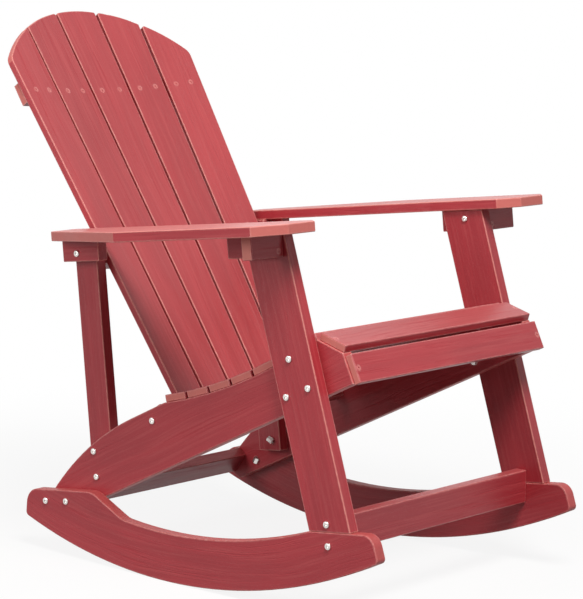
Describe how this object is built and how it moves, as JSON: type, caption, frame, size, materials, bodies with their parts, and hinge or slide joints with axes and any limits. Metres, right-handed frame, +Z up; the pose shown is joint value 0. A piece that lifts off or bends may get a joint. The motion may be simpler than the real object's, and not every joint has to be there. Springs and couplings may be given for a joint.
{
  "type": "rocking adirondack chair",
  "caption": "Rocking adirondack chair of plastic-wood boards: fanned, arched back, curved slatted seat, broad flat arms and two curved rockers, held with bolts and screws.",
  "frame": {"origin": "on the floor, under the middle of the chair's overall length and width, with the chair standing at rest on its rockers", "axes": "+X to the sitter's left, +Y to the rear of the chair, +Z up"},
  "size_m": [0.72, 0.922, 0.8878],
  "materials": {
    "boards": "satin red plastic wood with a fine embossed grain",
    "fasteners": "stainless steel, bright heads",
    "screws": "steel coated in the boards' red"
  },
  "bodies": {
    "root": {"apron_screws": "screws", "arm_screws": "screws", "back_slat_1": "boards", "back_slat_2": "boards", "back_slat_3": "boards", "back_slat_4": "boards", "back_slat_5": "boards", "back_slat_screws": "screws", "bearer_screws": "screws", "end_bolts": "fasteners", "frame_bolts": "fasteners", "frame_nuts": "fasteners", "front_apron": "boards", "front_seat_slat": "boards", "front_stretcher": "boards", "left_arm": "boards", "left_arm_bearer": "boards", "left_arm_cleat": "boards", "left_front_leg": "boards", "left_rear_arm_block": "boards", "left_rear_post": "boards", "left_rocker": "boards", "left_side_rail": "boards", "lower_back_rail": "boards", "middle_back_rail": "boards", "rear_stretcher": "boards", "right_arm": "boards", "right_arm_bearer": "boards", "right_arm_cleat": "boards", "right_front_leg": "boards", "right_rear_arm_block": "boards", "right_rear_post": "boards", "right_rocker": "boards", "right_side_rail": "boards", "seat_slat_1": "boards", "seat_slat_2": "boards", "seat_slat_3": "boards", "seat_slat_4": "boards", "seat_slat_5": "boards", "seat_slat_6": "boards", "seat_slat_7": "boards", "seat_slat_screws": "screws", "upper_back_rail": "boards"}
  },
  "joints": []
}
